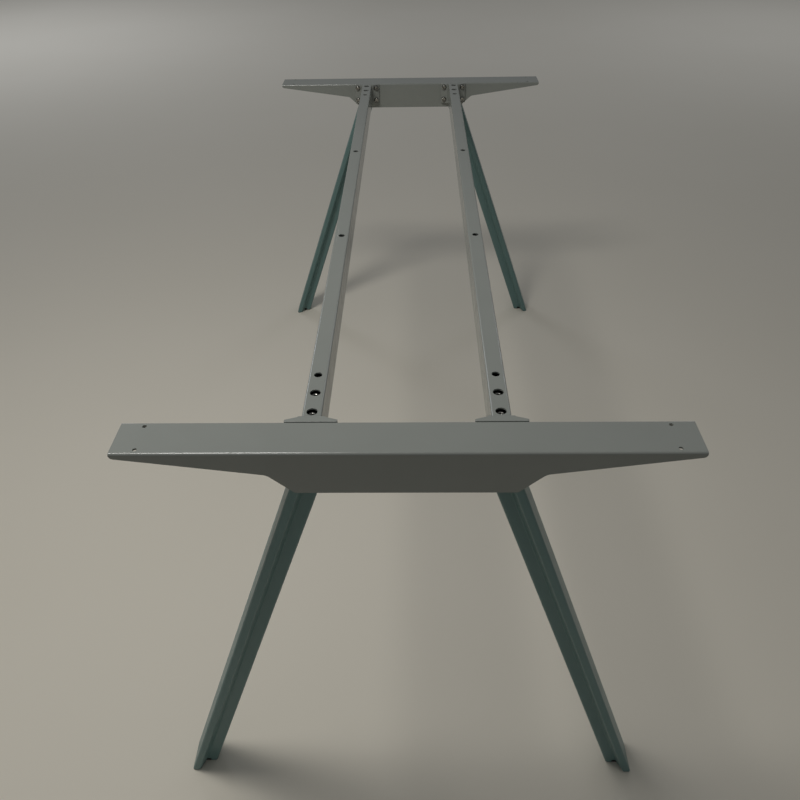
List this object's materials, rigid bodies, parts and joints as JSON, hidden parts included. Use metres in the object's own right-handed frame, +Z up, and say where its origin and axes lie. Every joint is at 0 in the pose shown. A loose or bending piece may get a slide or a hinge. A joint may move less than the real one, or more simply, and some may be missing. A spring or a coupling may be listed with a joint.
{
  "type": "table leg frame",
  "caption": "Bolted steel table underframe: folded crossheads on splayed legs joined by long rectangular tube rails, for carrying a table top.",
  "frame": {"origin": "on the floor, under the middle of the frame", "axes": "+Z up, +Y along the rails towards the far end frame, +X along the crossheads to the right"},
  "size_m": [0.749, 1.6, 0.72],
  "materials": {
    "frame_paint": "satin powder coat, warm green-grey",
    "leg_paint": "satin powder coat, teal-grey",
    "cast_paint": "satin powder coat on a casting, warm green-grey",
    "zinc": "bright zinc plate",
    "black_plastic": "matt black moulded plastic"
  },
  "bodies": {
    "root": {"near_crosshead": "frame_paint", "far_crosshead": "frame_paint", "left_rail": "frame_paint", "right_rail": "frame_paint", "near_left_leg": "leg_paint", "near_left_glide": "black_plastic", "near_left_connector": "cast_paint", "near_left_flange_bolts": "zinc", "near_left_flange_washers": "zinc", "near_left_flange_nuts": "zinc", "near_left_rail_screws": "zinc", "near_right_leg": "leg_paint", "near_right_glide": "black_plastic", "near_right_connector": "cast_paint", "near_right_flange_bolts": "zinc", "near_right_flange_washers": "zinc", "near_right_flange_nuts": "zinc", "near_right_rail_screws": "zinc", "far_left_leg": "leg_paint", "far_left_glide": "black_plastic", "far_left_connector": "cast_paint", "far_left_flange_bolts": "zinc", "far_left_flange_washers": "zinc", "far_left_flange_nuts": "zinc", "far_left_rail_screws": "zinc", "far_right_leg": "leg_paint", "far_right_glide": "black_plastic", "far_right_connector": "cast_paint", "far_right_flange_bolts": "zinc", "far_right_flange_washers": "zinc", "far_right_flange_nuts": "zinc", "far_right_rail_screws": "zinc"}
  },
  "joints": []
}
